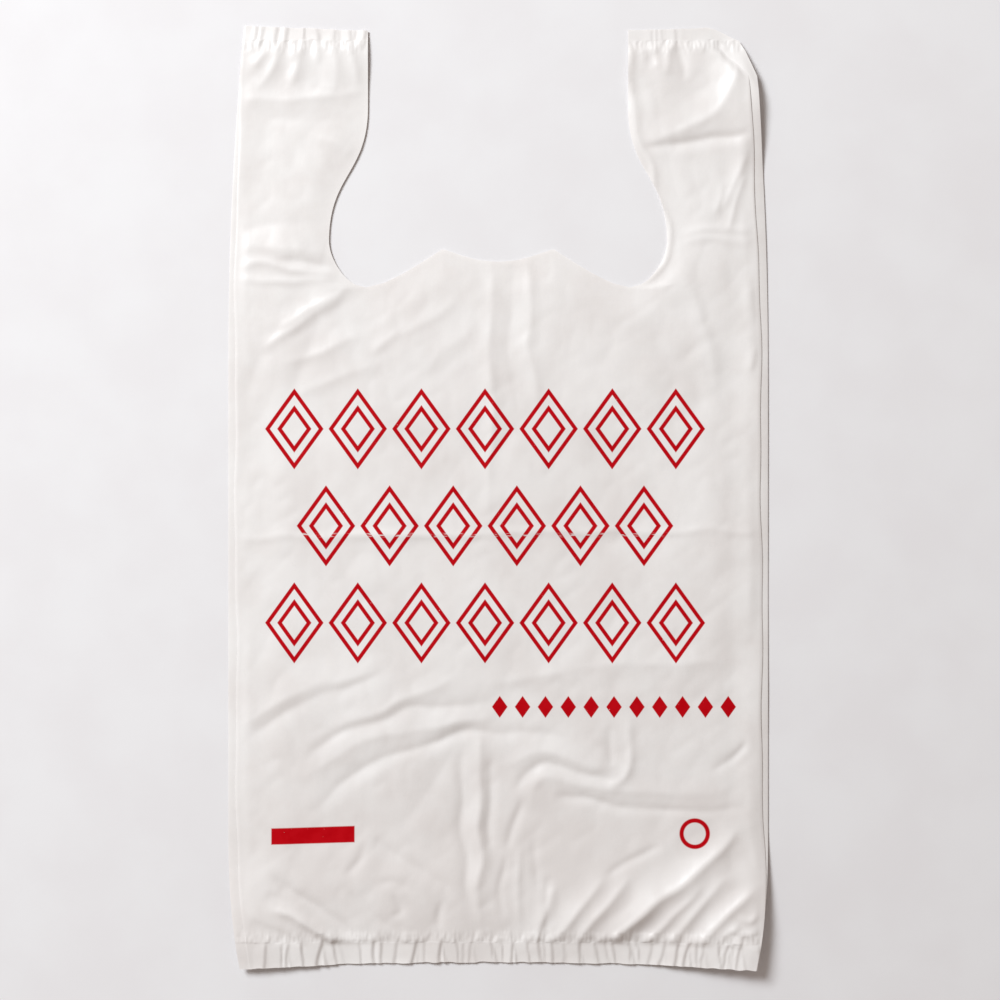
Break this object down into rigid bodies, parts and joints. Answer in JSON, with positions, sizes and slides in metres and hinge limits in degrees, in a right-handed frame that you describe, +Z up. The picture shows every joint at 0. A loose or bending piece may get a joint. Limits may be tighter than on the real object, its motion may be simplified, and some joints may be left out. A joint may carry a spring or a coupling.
{
  "type": "plastic carrier bag",
  "caption": "Empty plastic carrier bag lying flat, with loop handles, a scalloped mouth cut between them, folded-in sides and gathered seals across the hem and the handle tops.",
  "frame": {"origin": "centre of the bag's flat outline, on the surface that it lies on", "axes": "+X across the bag, +Y along it from the hem to the handles, +Z up through its front panel"},
  "size_m": [0.305, 0.5332, 0.0094],
  "materials": {
    "film": "white satin film with a soft sheen and plain red print on its front"
  },
  "bodies": {
    "root": {"carrier_bag": "film"}
  },
  "joints": []
}
